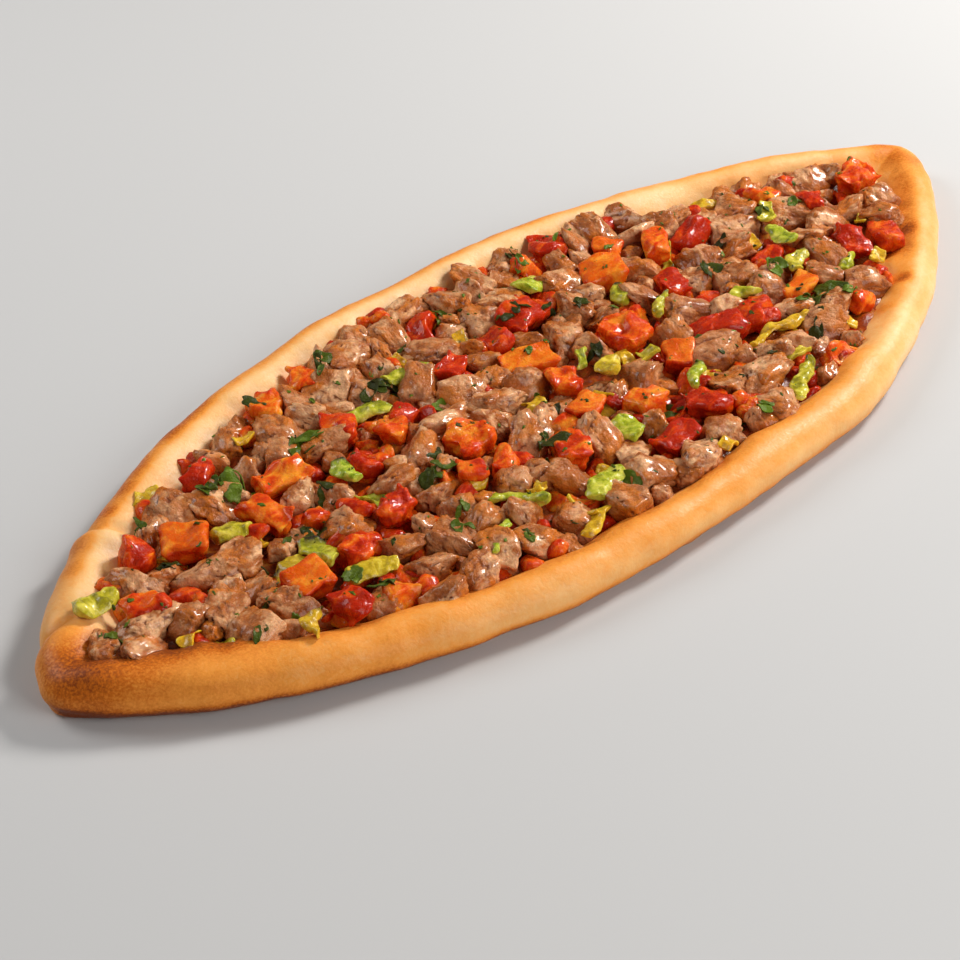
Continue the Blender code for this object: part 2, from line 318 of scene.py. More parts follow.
# Spots browned more deeply than the dough around them: x and y in mm, size, and how deep.
BROWN_SPOTS = (
    (-178, 53, 6, 0.34),
    (-196, 44, 6, 0.26),
    (-206, 35, 5, 0.22),
    (-165, 59, 6, 0.24),
    (-151, 69, 8, 0.24),
    (-130, 76, 8, 0.16),
    (-238, -10, 9, 0.10),
    (-213, -18, 5, 0.40),
    (-206, -24, 6, 0.56),
    (-197, -31, 6, 0.46),
    (-238, -1, 9, 0.14),
    (-229, -6, 5, 0.16),
    (-243, -20, 13, 0.10),
    (-114, 80, 10, 0.22),
    (-130, 74, 8, 0.10),
    (235, 17, 9, 0.34),
    (234, 5, 9, 0.24),
    (214, 26, 7, 0.14),
    (181, -30, 5, 0.46),
    (194, -16, 5, 0.30),
    (164, -38, 4, 0.24),
    (145, -54, 5, 0.46),
    (122, -60, 4, 0.20),
    (119, 58, 5, 0.14),
    (-160, 62, 9, 0.10),
    (206, 4, 6, 0.12),
)
# Lips of dough that have crept over the filling: x and y in mm, size and how far they reach.
DOUGH_LIPS = (
    (155, -40, 6, 3.4),
    (172, -30, 4, 2.2),
    (190, -18, 5, 2.6),
    (139, -56, 4, 1.6),
    (-219, 14, 6, 2.0),
    (-214, -17, 6, 3.2),
    (-204, -26, 7, 4.6),
    (-192, -35, 7, 3.6),
    (-150, -64, 9, 1.4),
    (-60, -82, 10, 1.6),
    (12, -84, 8, 1.4),
    (80, -76, 9, 1.6),
    (-80, 72, 12, 1.6),
    (120, 56, 9, 2.2),
)


def browning_and_painted_light(place, normal):
    """How deeply the oven has browned the dough at a place, with painted shade in the folds and at
    the near foot and painted light on the near flank: 0 is pale and 1 dark brown.
    """
    x, y, z = (place / MM)[:]
    near = smooth_step(12, -12, y)
    outward = normal.y * (1 if y > 0 else -1)
    _, nose_fold_shade, past_fold = crease(place, *NOSE_FOLD, 5)
    _, far_fold_shade, _ = crease(place, *FAR_FOLD, 5)
    nose = smooth_step(-204, -226, x) * smooth_step(4, -3, past_fold)
    left = smooth_step(-60, -200, x)
    bake_and_light = 0.375
    # The left nose, most of all its crest; and painted shade along the lines of the two folds.
    bake_and_light += 0.17 * nose * (0.45 + 0.55 * smooth_step(8, 15, z))
    bake_and_light += 0.16 * nose_fold_shade + 0.14 * far_fold_shade
    # The near side: brown at its foot, partly from baking and partly painted shade, and brown inside
    # its crest, more so at the left; the paler band between is painted light.
    bake_and_light += 0.10 * left * near
    bake_and_light += (0.30 + 0.34 * left) * near * smooth_step(8.0, 2.0, z) * smooth_step(0.0, 0.5, outward)
    bake_and_light -= 0.10 * near * bell(z - 9.5, 3.0) * smooth_step(0.3, 0.7, outward) * (1 - left)
    bake_and_light += 0.14 * near * bell(z - 15.0, 3.0) * smooth_step(0.2, -0.4, outward)
    # The far side: a browned outer flank, and a floury slope inside the rim.
    far_flank = smooth_step(150, 40, x) * (0.1 + 0.9 * smooth_step(-190, -110, x))
    bake_and_light += 0.20 * (1 - near) * smooth_step(0.0, 0.6, outward) * far_flank
    bake_and_light -= 0.26 * (1 - near) * smooth_step(0.25, -0.30, outward) * smooth_step(-234, -215, x)
    # The right half: a paler stretch of the near side, which is a painted sheen, then a browner
    # inner slope.
    bake_and_light -= 0.14 * bell(x - 115, 60) * near
    bake_and_light += 0.14 * smooth_step(110, 190, x) * smooth_step(0.15, -0.4, outward)
    # The underside is pale.
    bake_and_light -= 0.26 * smooth_step(2.0, 0.6, z)
    for spot_x, spot_y, size, depth in BROWN_SPOTS:
        bake_and_light += depth * bell(math.hypot(x - spot_x, y - spot_y), size)
    return bake_and_light + 0.10 * lumps(place, 0.030, 3.1) + 0.06 * lumps(place, 0.010, 8.4)


# Dough that touches the filling has soaked up its juice, and is darker there.
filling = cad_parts["lamb_bed"].data.vertices
filling_edge = KDTree(len(filling))
for index, vert in enumerate(filling):
    filling_edge.insert(vert.co, index)
filling_edge.balance()

boat = subdivided(solid_of("crust"), DOUGH_LEVELS)
bake_and_light_layer = boat.verts.layers.float.new("bake_and_light")
for vert in boat.verts:
    x, y, z = (vert.co / MM)[:]
    free = smooth_step(0.5, 3.0, z)
    inward = Vector((-x * 0.12, -y, 0)).normalized()
    soak = bell(filling_edge.find(vert.co)[2], 4 * MM)
    soak *= smooth_step(-0.1, 0.4, lumps(vert.co, 0.011, 2.0))
    vert[bake_and_light_layer] = browning_and_painted_light(vert.co, vert.normal) + SOAK * soak
    swell = DOUGH_SWELL * lumps(vert.co, 0.026) + DOUGH_DIMPLE * lumps(vert.co, 0.009, 5.0)
    swell += NOSE_FOLD_RISE * crease(vert.co, *NOSE_FOLD, 6)[0] * smooth_step(4, 9, z)
    swell += FAR_FOLD_RISE * crease(vert.co, *FAR_FOLD, 5)[0] * smooth_step(6, 10, z)
    swell -= NOSE_TRIM * smooth_step(-232, -247, x)
    lip = Vector()
    for lip_x, lip_y, size, reach in DOUGH_LIPS:
        pull = reach * MM * bell(math.hypot(x - lip_x, y - lip_y), size) * smooth_step(5.5, 9, z)
        lip += inward * pull + Vector((0, 0, LIP_LIFT * pull))
    vert.co += vert.normal * swell * free + lip

dough = Finish("baked dough")
skin = dough.cooked(
    dough.place(),
    Coarse_Scale=300,
    Fine_Scale=1100,
    Coarse_Depth=0.00020,
    Fine_Depth=0.00012,
    Glossiest=0.34,
    Dullest=0.50,
)
bake_and_light = dough.sum(dough.attribute("bake_and_light"), dough.band(skin["Mottle"], 0.3, 0.7, -0.05, 0.05))
speckle = dough.times(
    dough.band(skin["Grain"], 0.35, 0.65, -1, 1),
    dough.band(dough.attribute("bake_and_light"), 0.42, 0.80, 0.022, 0.13),
)
crust_colour = dough.ramp(
    dough.sum(bake_and_light, speckle),
    (
        (0.0, FLOURY_DOUGH),
        (0.20, PALE_DOUGH),
        (0.46, GOLDEN_DOUGH),
        (0.72, BROWN_DOUGH),
        (1.0, DARK_DOUGH),
    ),
)
dough.dress(
    Base_Color=crust_colour,
    Roughness=skin["Roughness"],
    Normal=skin["Normal"],
    Subsurface_Weight=0.10,
    Subsurface_Radius=(0.004, 0.0015, 0.0006),
    Subsurface_Scale=1.0,
    Specular_IOR_Level=0.18,
)
add_piece("dough_boat", boat, dough.material, "baked_dough", "crust")


# ---------------------------------------------------------------- juices and scraps
# What has run down between the dice: meat juice, oil and tomato, with scraps too small to tell
# apart. It lies on the dough a little lower and narrower than the dice that hide it.
SCRAPS_SHARE = 0.50
SCRAPS_RELIEF = 0.0016
SAUCE_DARK = (0.10, 0.022, 0.005, 1)
SAUCE_RED = (0.34, 0.050, 0.007, 1)
SAUCE_OIL = (0.50, 0.20, 0.018, 1)
SOAKED_DOUGH = (0.72, 0.36, 0.085, 1)
SAUCE_THINS = 0.203
SAUCE_ENDS = 0.213

bed = solid_of("lamb_bed")
bed_tree = BVHTree.FromBMesh(bed)
bed_low, bed_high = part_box("lamb_bed")
scraps = subdivided(bed, 2)
for vert in scraps.verts:
    rise = (vert.co.z - bed_low.z) * SCRAPS_SHARE
    heap = SCRAPS_RELIEF * (lumps(vert.co, 0.007) + 0.6 * lumps(vert.co, 0.003, 4.0))
    vert.co.z = bed_low.z + rise + heap * smooth_step(0, 3 * MM, rise)

sauce = Finish("meat juices")
wet = sauce.cooked(
    sauce.place(),
    Coarse_Scale=110,
    Fine_Scale=500,
    Coarse_Depth=0.0008,
    Fine_Depth=0.0005,
    Glossiest=0.12,
    Dullest=0.35,
)
sauce_stops = ((0.38, SAUCE_DARK), (0.54, SAUCE_RED), (0.70, SAUCE_OIL))
sauce_colour = sauce.ramp(wet["Mottle"], sauce_stops)
# Towards the right end the filling thins out until only oily dough is left.
along = sauce.node("ShaderNodeSeparateXYZ")
sauce.wire(sauce.place(), along.inputs["Vector"])
bare = sauce.sum(along.outputs["X"], sauce.band(wet["Mottle"], 0.4, 0.6, -0.006, 0.006))
sauce_colour = sauce.mix(sauce.band(bare, SAUCE_THINS, SAUCE_ENDS), sauce_colour, SOAKED_DOUGH)
sauce.dress(
    Base_Color=sauce_colour,
    Roughness=wet["Roughness"],
    Normal=wet["Normal"],
    Specular_IOR_Level=0.35,
)
add_piece("juices_and_scraps", scraps, sauce.material, "lamb", "lamb_bed")


# ---------------------------------------------------------------- tomato chunks
# Ripe tomatoes cut with seeds and skin into rough squares and wedges, then cooked through until
# they shine. Some lie skin up and look orange and papery, others are wet pulp.
TOMATO_NODES = sorted(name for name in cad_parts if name.startswith("tomato"))
SKIN_UP = {1, 8, 15, 16, 18, 23, 24, 33}
PULPY = {19, 22, 31, 32, 10, 26}
TOMATO_DEEP = (0.40, 0.016, 0.002, 1)
TOMATO_RED = (0.58, 0.040, 0.003, 1)
TOMATO_ORANGE = (0.70, 0.098, 0.005, 1)
TOMATO_PALE = (0.84, 0.290, 0.022, 1)
TOMATO_SKIN = (0.72, 0.125, 0.005, 1)
TOMATO_PLUMP = 1.12
TOMATO_RISE = 0.2 * MM
BIT_CUTS = 7
LOWEST_FILLING = 3 * MM
FILLING_AT_RIM = 14 * MM
# Smaller bits of tomato in the gaps: x, y, heading, length and width in mm.
TOMATO_BITS = (
    (-187, 25, 60, 12, 9),
    (-96, 9, 20, 13, 9),
    (-138, -29, 0, 11, 9),
    (-17, 59, 40, 16, 9),
    (-4, 33, 70, 13, 10),
    (80, -5, 10, 14, 8),
    (4, -36, 0, 14, 10),
    (82, -28, 25, 18, 9),
    (80, -70, 20, 14, 9),
    (115, 31, 10, 17, 9),
    (160, 28, -10, 12, 9),
    (172, -27, 50, 18, 11),
    (-141, -53, 0, 12, 8),
    (-131, -2, 0, 9, 7),
    (33, 38, 0, 10, 9),
    (118, -52, 0, 9, 7),
    (-160, -38, 0, 9, 7),
    (-112, 26, 0, 10, 8),
    (-104, -32, 20, 9, 7),
    (-152, 9, 30, 9, 7),
    (-63, -27, 20, 11, 8),
    (-30, -28, 10, 12, 8),
    (10, -48, 30, 11, 8),
    (50, 6, 20, 10, 7),
    (122, -5, 20, 11, 8),
    (190, 4, 60, 11, 7),
    (-66, 22, 20, 12, 8),
    (-78, -24, 50, 10, 8),
    (45, 62, 20, 9, 7),
    (28, -62, 0, 9, 7),
)

# Both kinds of chance are seeded, so that the filling is the same in every run.
draw = random.Random(5)
noise.seed_set(5)


def add_shape(whole, part):
    """Joins a finished part to the piece being built."""
    mesh = bpy.data.meshes.new("work")
    part.to_mesh(mesh)
    part.free()
    whole.from_mesh(mesh)
    bpy.data.meshes.remove(mesh)


def warp(part, amount, size, seed):
    """Pulls a cut shape out of true, as cooking does, with bends about size across."""
    offset = Vector((seed, seed * 0.3, -seed))
    for vert in part.verts:
        vert.co += noise.noise_vector(vert.co / size + offset) * amount


def roughen(part, amount, size, seed):
    """Raises lumps about size across on a shape's surface."""
    part.normal_update()
    for vert in part.verts:
        vert.co += vert.normal * (amount * lumps(vert.co, size, seed))


def mark(part, **values):
    """Writes each value on every vertex of the part, for its material to read."""
    for name, value in values.items():
        layer = part.verts.layers.float.new(name)
        for vert in part.verts:
            vert[layer] = value(vert) if callable(value) else value


def settle(part):
    """Squeezes a part between the dough's floor and the highest point, and renews its normals."""
    low = min(vert.co.z for vert in part.verts)
    high = max(vert.co.z for vert in part.verts)
    lowest = max(low, LOWEST_FILLING)
    squeeze = (min(high, cad_high[2]) - lowest) / (high - low)
    for vert in part.verts:
        vert.co.z = lowest + (vert.co.z - low) * squeeze
    part.normal_update()


def bed_height(x, y):
    """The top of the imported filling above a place, or None beyond its edge."""
    hit = bed_tree.ray_cast(Vector((x, y, 1)), Vector((0, 0, -1)))[0]
    return hit.z if hit else None


def rounded_block(cuts, roundness):
    """A block 2 across with that many cuts on each edge, its edges and corners rounded off."""
    block = bmesh.new()
    bmesh.ops.create_cube(block, size=2.0)
    bmesh.ops.subdivide_edges(block, edges=block.edges, cuts=cuts, use_grid_fill=True)
    for vert in block.verts:
        vert.co /= sum(abs(side) ** roundness for side in vert.co) ** (1 / roundness)
    return block


def lay(part, x, y, z, heading, tilt):
    """Turns a part made at the centre to its heading, tips it and puts it in its place."""
    turn = Matrix.Rotation(math.radians(heading), 4, "Z")
    tip = Matrix.Rotation(draw.gauss(0, tilt), 4, "X") @ Matrix.Rotation(draw.gauss(0, tilt), 4, "Y")
    bmesh.ops.transform(part, matrix=Matrix.Translation((x, y, z)) @ tip @ turn, verts=part.verts)


def upper_side(vert):
    """Where the skin shows on a chunk that lies skin up."""
    return smooth_step(0.35, 0.8, vert.normal.z)


tomatoes = bmesh.new()
for node in TOMATO_NODES:
    number = int(node[-2:])
    pulpy = number in PULPY
    skin_up = number in SKIN_UP
    soft = 1.3 if pulpy else 0.65 if skin_up else 1.0
    chunk = subdivided(solid_of(node), 3, 0.40 if skin_up else 0.30)
    low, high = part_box(node)
    middle = (low + high) / 2
    for vert in chunk.verts:
        vert.co = middle + (vert.co - middle) * TOMATO_PLUMP + Vector((0, 0, TOMATO_RISE))
    warp(chunk, amount=0.0030 * soft, size=0.011, seed=number)
    warp(chunk, amount=0.0014 * soft, size=0.0050, seed=number + 9)
    roughen(chunk, amount=0.0009 * soft**2, size=0.0038, seed=number)
    roughen(chunk, amount=0.0003 * soft**2, size=0.0018, seed=number + 4)
    settle(chunk)
    mark(
        chunk,
        skin=1.0 if skin_up else 0.0,
        tone=draw.random(),
        pulp=1.0 if pulpy else draw.uniform(0, 0.5),
        top=upper_side,
    )
    add_shape(tomatoes, chunk)
for x, y, heading, length, width in TOMATO_BITS:
    chunk = rounded_block(BIT_CUTS, 6.0)
    half_sizes = Vector((length / 2, width / 2, draw.uniform(3.2, 4.6)))
    bmesh.ops.scale(chunk, vec=half_sizes * TOMATO_PLUMP * MM, verts=chunk.verts)
    z = (bed_height(x * MM, y * MM) or FILLING_AT_RIM) + draw.uniform(-2.4, -0.4) * MM
    lay(chunk, x * MM, y * MM, z, heading, tilt=0.22)
    warp(chunk, amount=0.0034, size=0.009, seed=x)
    roughen(chunk, amount=0.0009, size=0.0036, seed=y)
    roughen(chunk, amount=0.0004, size=0.0017, seed=y + 3)
    settle(chunk)
    mark(
        chunk,
        skin=0.0,
        tone=draw.random(),
        pulp=draw.uniform(0.2, 1.0),
        top=upper_side,
    )
    add_shape(tomatoes, chunk)

tomato = Finish("cooked tomato")
where = tomato.place()
gel = tomato.bundles(where, 430)
gel_relief = tomato.bump(tomato.times(gel, tomato.attribute("pulp")), -0.0005)
wet = tomato.cooked(
    where,
    gel_relief,
    Coarse_Scale=240,
    Fine_Scale=650,
    Coarse_Depth=0.0011,
    Fine_Depth=0.0003,
    Glossiest=0.14,
    Dullest=0.34,
)
streaks = tomato.clouds(tomato.scaled(where, (100, 190, 150)), 1.0, 4.0, 0.55, 0.9)
flesh = tomato.ramp(
    tomato.sum(streaks, tomato.band(tomato.attribute("tone"), 0, 1, -0.16, 0.13)),
    ((0.36, TOMATO_DEEP), (0.46, TOMATO_RED), (0.58, TOMATO_ORANGE), (0.76, TOMATO_PALE)),
)
gel_share = tomato.times(tomato.attribute("pulp"), tomato.band(gel, 0.34, 0.12, 0.0, 0.40))
flesh = tomato.mix(gel_share, flesh, TOMATO_ORANGE)
skin_share = tomato.times(tomato.attribute("skin"), tomato.attribute("top"))
skin_shade = tomato.mix(tomato.band(streaks, 0.46, 0.72), TOMATO_SKIN, TOMATO_PALE)
tomato_colour = tomato.mix(tomato.times(skin_share, 0.70), flesh, skin_shade)
tomato.dress(
    Base_Color=tomato_colour,
    Roughness=wet["Roughness"],
    Normal=wet["Normal"],
    Subsurface_Weight=0.45,
    Subsurface_Radius=(0.006, 0.0014, 0.0003),
    Subsurface_Scale=1.0,
    Specular_IOR_Level=0.08,
    Coat_Weight=0.24,
    Coat_Roughness=0.04,
)
add_piece("tomato_chunks", tomatoes, tomato.material, "tomato", *TOMATO_NODES)


# ---------------------------------------------------------------- green pepper pieces
# Long green peppers cut into strips, rings and squares. Roasting has turned them yellow-green
# and glossy, with scorched black tips here and there.
PEPPER_NODES = sorted(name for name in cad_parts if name.startswith("pepper"))
PEPPER_GREEN = (0.35, 0.44, 0.018, 1)
PEPPER_PALE = (0.66, 0.66, 0.110, 1)
PEPPER_DEEP = (0.13, 0.20, 0.008, 1)
PEPPER_YELLOW = (0.80, 0.54, 0.030, 1)
PEPPER_GOLD = (0.66, 0.34, 0.010, 1)
PEPPER_OCHRE = (0.42, 0.22, 0.012, 1)
PEPPER_SCORCH = (0.030, 0.022, 0.010, 1)
PEPPER_WALL = 1.5 * MM
BIT_SEGMENTS = 7
SCORCHED = {3, 5, 6, 8, 9, 11, 12, 16, 20, 23}
YELLOWED = {4, 5, 13, 17, 19}
# Smaller bits of pepper: x, y, heading, length and width in mm, and how yellow from 0 to 1.
PEPPER_BITS = (
    (-161, 50, 60, 10, 9, 0.8),
    (-190, -3, 100, 10, 6, 1.0),
    (-108, -9, 90, 11, 8, 0.1),
    (-48, 43, 35, 13, 5, 0.3),
    (9, 0, 50, 14, 4, 0.2),
    (20, -12, 80, 12, 7, 0.9),
    (148, 16, 35, 15, 7, 0.4),
    (92, 25, 25, 20, 4, 0.5),
    (-62, -66, 80, 13, 8, 0.9),
    (26, -20, 60, 9, 7, 0.5),
    (150, -38, 20, 12, 6, 0.9),
    (-78, -27, 60, 10, 8, 1.0),
    (-28, -10, 60, 8, 8, 0.9),
    (-5, -25, 60, 10, 6, 0.9),
    (85, -47, 20, 12, 5, 0.9),
    (68, -57, 0, 16, 4, 0.5),
    (-155, -14, 0, 14, 6, 0.7),
    (-204, -20, 30, 9, 6, 1.0),
    (-152, 3, 70, 7, 5, 1.0),
    (29, -64, 20, 8, 5, 1.0),
    (0, -77, 0, 6, 5, 1.0),
    (141, 44, -30, 12, 5, 0.9),
    (-40, 49, 60, 8, 4, 1.0),
    (-196, -30, 60, 10, 5, 0.4),
    (-178, 22, 30, 8, 5, 1.0),
    (-118, 49, 0, 8, 5, 1.0),
    (-83, 12, 60, 9, 5, 1.0),
    (-66, -46, 20, 8, 6, 1.0),
    (-12, 44, 70, 9, 5, 1.0),
    (38, -40, 30, 9, 5, 1.0),
    (62, 24, 0, 8, 5, 1.0),
    (104, -58, 40, 9, 5, 0.9),
    (128, 8, 60, 9, 6, 1.0),
    (176, -12, 20, 10, 5, 0.7),
    (-135, -40, 50, 8, 5, 1.0),
    (-40, -52, 0, 8, 5, 0.9),
)


def inner_wall(vert):
    """The pale inside of a piece, where it faces down."""
    return smooth_step(0.3, -0.5, vert.normal.z)


peppers = bmesh.new()
for node in PEPPER_NODES:
    number = int(node[-2:])
    strip = subdivided(solid_of(node), 3, 0.35)
    warp(strip, amount=0.0030, size=0.012, seed=number + 40)
    warp(strip, amount=0.0010, size=0.004, seed=number + 60)
    roughen(strip, amount=0.0004, size=0.0024, seed=number)
    settle(strip)
    far_end = max(vert.co.x + vert.co.y for vert in strip.verts)
    burnt = 1.0 if number in SCORCHED else 0.0
    mark(
        strip,
        yellow=draw.uniform(0.0, 0.42) + (0.5 if number in YELLOWED else 0.0),
        inside=inner_wall,
        scorch=lambda vert: burnt * smooth_step(7 * MM, 2 * MM, far_end - vert.co.x - vert.co.y),
    )
    add_shape(peppers, strip)
for x, y, heading, length, width, yellow in PEPPER_BITS:
    strip = bmesh.new()
    bmesh.ops.create_grid(strip, x_segments=BIT_SEGMENTS, y_segments=3, size=1.0)
    arch = draw.uniform(0.5, 1.5) * draw.choice((1, 1, -1))
    sweep = draw.uniform(-0.6, 0.6)
    for vert in strip.verts:
        u, v = vert.co.x, vert.co.y
        ragged = 1 + 0.25 * noise.noise(Vector((u * 2.5, v, x)))
        swing = sweep * u * u
        vert.co = Vector((u * length / 2, v * ragged * width / 2 + swing * length / 4, 0)) * MM
        vert.co.z -= (arch * u * u * 0.16 * length - 0.12 * width * v * v) * MM
    bmesh.ops.solidify(strip, geom=strip.faces, thickness=PEPPER_WALL)
    bmesh.ops.recalc_face_normals(strip, faces=strip.faces)
    strip = subdivided(strip, 2, 0.35)
    z = (bed_height(x * MM, y * MM) or FILLING_AT_RIM) + draw.uniform(0.2, 1.6) * MM
    lay(strip, x * MM, y * MM, z, heading, tilt=0.30)
    warp(strip, amount=0.0020, size=0.007, seed=x)
    roughen(strip, amount=0.0004, size=0.0022, seed=y)
    settle(strip)
    burnt = draw.uniform(-1, 1)
    mark(
        strip,
        yellow=yellow,
        inside=inner_wall,
        scorch=lambda vert: smooth_step(
            0.36, 0.75, lumps(vert.co, 0.005, burnt * 20) + 0.25 * burnt
        ),
    )
    add_shape(peppers, strip)

pepper = Finish("roast green pepper")
skin = pepper.cooked(
    pepper.place(),
    Coarse_Scale=230,
    Fine_Scale=480,
    Coarse_Depth=0.0005,
    Fine_Depth=0.0005,
    Glossiest=0.16,
    Dullest=0.36,
)
mottle = skin["Mottle"]
green = pepper.ramp(mottle, ((0.34, PEPPER_DEEP), (0.48, PEPPER_GREEN), (0.64, PEPPER_PALE)))
green = pepper.mix(pepper.times(pepper.attribute("inside"), 0.7), green, PEPPER_PALE)
gold = pepper.ramp(mottle, ((0.36, PEPPER_OCHRE), (0.50, PEPPER_GOLD), (0.66, PEPPER_YELLOW)))
pepper_colour = pepper.mix(pepper.attribute("yellow"), green, gold)
scorch = pepper.times(pepper.attribute("scorch"), pepper.band(mottle, 0.40, 0.50))
pepper_colour = pepper.mix(scorch, pepper_colour, PEPPER_SCORCH)
pepper.dress(
    Base_Color=pepper_colour,
    Roughness=skin["Roughness"],
    Normal=skin["Normal"],
    Subsurface_Weight=0.30,
    Subsurface_Radius=(0.003, 0.003, 0.0004),
    Subsurface_Scale=1.0,
    Specular_IOR_Level=0.2,
    Coat_Weight=0.35,
    Coat_Roughness=0.04,
)
add_piece("pepper_pieces", peppers, pepper.material, "green_pepper", *PEPPER_NODES)


# ---------------------------------------------------------------- diced lamb
# Lamb cut by hand into lumpy dice, browned first and packed in raw dough, where it roasts on.
# Each die has a few flat knife cuts, creases along its grain and a glaze of fat and juice.
DIE_CUTS = {"lamb_dice_large": 11, "lamb_dice_medium": 10, "lamb_dice_small": 8}
LARGEST_DIE = 9.8 * MM
SMALLEST_DIE = 3.8 * MM
TALLEST_DIE = 7.0 * MM
DIE_AT_RIM = 13 * MM
LOWEST_DIE = 5 * MM
DIE_TRIES = 24000
# How near two dice, or a die and a topping, may come, as a share of their radii.
DIE_SPACING = 0.80
SMALL_DIE_SPACING = 0.66
TOPPING_SPACING = 0.64
# How far a die's middle stays inside the filling's edge, in radii: dice press on the near rim.
NEAR_REACH = 0.50
FAR_REACH = 0.72
# Where the dice end towards the right nose.
LAST_DIE = 0.209
KNIFE_CUTS = 6
# The dice darken from this height down: partly juice soaked in, partly painted shade low between the
# dice.
JUICE_AND_SHADE_TOP = 14.5 * MM
JUICE_AND_SHADE_DEPTH = 6 * MM
LAMB_ROAST = (0.42, 0.122, 0.026, 1)
LAMB_PALE = (0.90, 0.51, 0.255, 1)
LAMB_DARK = (0.17, 0.034, 0.006, 1)
LAMB_GLAZE = (0.60, 0.165, 0.014, 1)
LAMB_JUICE_AND_SHADE = (0.30, 0.050, 0.006, 1)
# Dice at the left end that can be told apart: x, y, length and width in mm, and heading.
LEFT_DICE = (
    (-223, -1, 14, 14, 0),
    (-215, -13, 17, 10, 10),
    (-208, -4, 18, 16, 20),
    (-196, 14, 16, 17, 0),
    (-178, 2, 16, 13, 0),
    (-162, 0, 18, 15, 0),
    (-184, -17, 21, 14, 35),
    (-169, -14, 16, 11, 0),
    (-186, -31, 20, 16, 0),
    (-169, -33, 13, 15, 0),
    (-172, 35, 18, 13, 60),
    (-160, 36, 15, 19, 0),
    (-150, 27, 14, 20, 80),
    (-120, 58, 20, 11, 50),
    (-127, 38, 13, 13, 0),
    (-113, 36, 15, 16, 0),
    (-99, 30, 14, 21, 65),
    (-85, 58, 14, 18, 0),
    (-126, 11, 15, 12, 0),
    (-126, -12, 20, 15, 45),
    (-98, -5, 17, 14, 0),
    (-91, -23, 18, 13, 0),
    (-108, -33, 18, 11, 0),
    (-122, -33, 16, 14, 0),
    (-124, -50, 16, 14, 0),
    (-149, -51, 13, 14, 0),
    (-133, -63, 16, 13, 0),
    (-115, -65, 17, 13, 0),
    (-101, -61, 14, 20, 0),
    (-88, -64, 16, 14, 0),
    (-95, -46, 20, 11, 0),
)

draw = random.Random(23)
blocks = {}
for cuts in DIE_CUTS.values():
    block = rounded_block(cuts, 3.6)
    block.verts.index_update()
    around = [[edge.other_vert(vert).index for edge in vert.link_edges] for vert in block.verts]
    blocks[cuts] = block, around


def trimmed(place, knife):
    """A place on the block after the knife, each cut a direction and how far out it passes."""
    for direction, reach in knife:
        over = place.dot(direction) - reach
        if over > 0:
            place = place - direction * over * 0.88
    return place


def ridges_of(die, around, step):
    """How far each vertex stands out from those next to it, in grid steps of the block."""
    ridges = []
    for vert, near in zip(die.verts, around):
        middle = sum((die.verts[other].co for other in near), Vector()) / len(near)
        ridges.append((vert.co - middle).dot(vert.normal) / step)
    return ridges


def lamb_die(cuts, half_sizes, turn, seat):
    """One die: a rounded block trimmed by a few knife cuts, creased and lumpy, then laid."""
    block, around = blocks[cuts]
    die = block.copy()
    grain_layer = die.verts.layers.float_vector.new("grain")
    knife = []
    for _ in range(KNIFE_CUTS):
        direction = Vector((draw.gauss(0, 1), draw.gauss(0, 1), draw.gauss(0, 0.8)))
        knife.append((direction.normalized(), draw.uniform(0.58, 0.92)))
    seed = draw.uniform(0, 90)
    skew = Matrix([[1 if i == j else draw.gauss(0, 0.17) for j in range(3)] for i in range(3)])
    stretch = Matrix.Diagonal(half_sizes)
    folds = []
    for vert in die.verts:
        shape = trimmed(vert.co, knife)
        big = noise.noise(shape * 1.1 + Vector((seed, 0, 0)))
        middle = noise.noise(shape * 2.6 + Vector((0, 0, seed)))
        along = Vector((shape.x * 1.2, shape.y * 2.0, shape.z * 2.0)) + Vector((seed, seed, 3))
        nearest, second = noise.voronoi(along + Vector((middle, big, middle)) * 0.5)[0][:2]
        fold = smooth_step(0.22, 0.0, second - nearest) * smooth_step(-0.15, 0.25, big + middle)
        swell = 0.18 * big + 0.15 * middle + 0.17 * (0.45 - nearest) - 0.10 * fold
        local = stretch @ (skew @ (shape + shape.normalized() * swell))
        vert[grain_layer] = local + Vector((seed, seed * 0.7, 0)) * 0.05
        folds.append(fold)
        vert.co = turn @ local + seat
    settle(die)
    die.verts.index_update()
    die.verts.ensure_lookup_table()
    ridges = ridges_of(die, around, sum(half_sizes) / 3 * 2 / cuts)
    mark(
        die,
        tone=draw.random(),
        fold=lambda vert: folds[vert.index],
        ridge=lambda vert: ridges[vert.index],
        low=lambda vert: smooth_step(JUICE_AND_SHADE_TOP, JUICE_AND_SHADE_TOP - JUICE_AND_SHADE_DEPTH, vert.co.z),
    )
    return die


# Dice are set largest first wherever there is room, so that small ones end up in the gaps. A
# spot is x, y and radius in metres, how much longer than wide the die is, and its heading.
toppings = KDTree(len(tomatoes.verts) + len(peppers.verts))
for index, vert in enumerate(list(tomatoes.verts) + list(peppers.verts)):
    toppings.insert((vert.co.x, vert.co.y, 0), index)
toppings.balance()
spots = [
    (x * MM, y * MM, (length + width) / 4 * MM, length / width, math.radians(heading))
    for x, y, length, width, heading in LEFT_DICE
]


def clearance(x, y, share):
    """How far a place is outside the nearest die, when that share of a die's radius counts."""
    return min(math.hypot(x - spot[0], y - spot[1]) - share * spot[2] for spot in spots)


